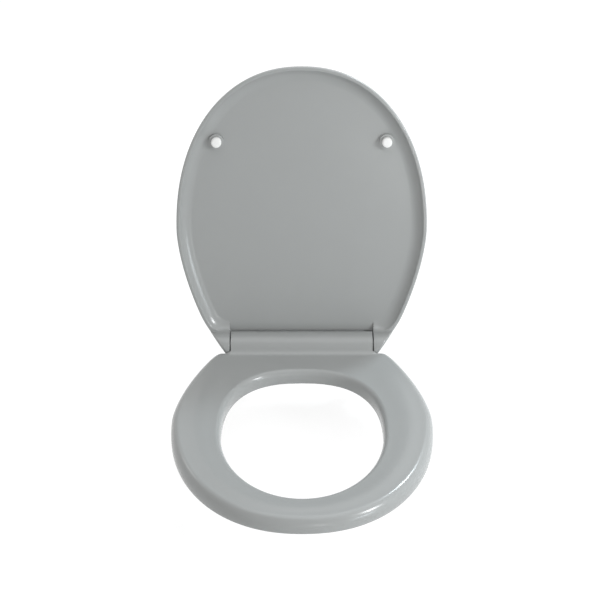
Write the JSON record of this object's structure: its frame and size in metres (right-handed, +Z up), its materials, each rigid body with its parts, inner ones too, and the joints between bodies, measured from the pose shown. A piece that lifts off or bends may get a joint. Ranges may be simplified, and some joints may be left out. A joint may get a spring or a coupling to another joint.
{
  "type": "toilet seat",
  "caption": "Oval toilet seat with a lid: a moulded ring and a dished cover turn on a common rear hinge whose posts bolt through the bowl.",
  "frame": {"origin": "on the bowl's top surface, midway between the two fixing bolts, 30 mm under the hinge axis", "axes": "+Z up, -Y towards the front tip of the seat, +X to the right as seen from the front"},
  "size_m": [0.375, 0.5355, 0.4953],
  "materials": {
    "grey_plastic": "smooth moulded thermoset, semi-gloss",
    "bush_nylon": "moulded nylon",
    "bumper_white": "soft moulded plastic",
    "post_metal": "cast, satin",
    "pin_steel": "turned stainless steel",
    "screw_steel": "blackened steel",
    "gasket_rubber": "matt rubber",
    "washer_plastic": "moulded nylon"
  },
  "bodies": {
    "fixings": {"hinge_post_left": "post_metal", "hinge_post_right": "post_metal", "hinge_pin_left": "pin_steel", "hinge_pin_right": "pin_steel", "grub_screw_left": "screw_steel", "grub_screw_right": "screw_steel", "base_gasket_left": "gasket_rubber", "base_gasket_right": "gasket_rubber", "mounting_bolt_left": "pin_steel", "mounting_bolt_right": "pin_steel", "cone_washer_left": "gasket_rubber", "cone_washer_right": "gasket_rubber", "flat_washer_left": "washer_plastic", "flat_washer_right": "washer_plastic", "wing_nut_left": "washer_plastic", "wing_nut_right": "washer_plastic"},
    "seat": {"seat_ring": "grey_plastic", "seat_bush_inner_left": "bush_nylon", "seat_bush_inner_right": "bush_nylon", "seat_bush_outer_left": "bush_nylon", "seat_bush_outer_right": "bush_nylon", "seat_bumper_front_left": "bumper_white", "seat_bumper_front_right": "bumper_white", "seat_bumper_rear_left": "bumper_white", "seat_bumper_rear_right": "bumper_white"},
    "cover": {"lid": "grey_plastic", "lid_bush_left": "bush_nylon", "lid_bush_right": "bush_nylon", "lid_bumper_left": "bumper_white", "lid_bumper_right": "bumper_white"}
  },
  "joints": [
    {"name": "seat_hinge", "type": "hinge", "parent": "fixings", "child": "seat", "pos_m": [0, 0, 0.03], "axis": [-1, 0, 0], "range_deg": [0, 95]},
    {"name": "lid_hinge", "type": "hinge", "parent": "seat", "child": "cover", "pos_m": [0, 0, 0.03], "axis": [-1, 0, 0], "range_deg": [-102, 0]}
  ]
}
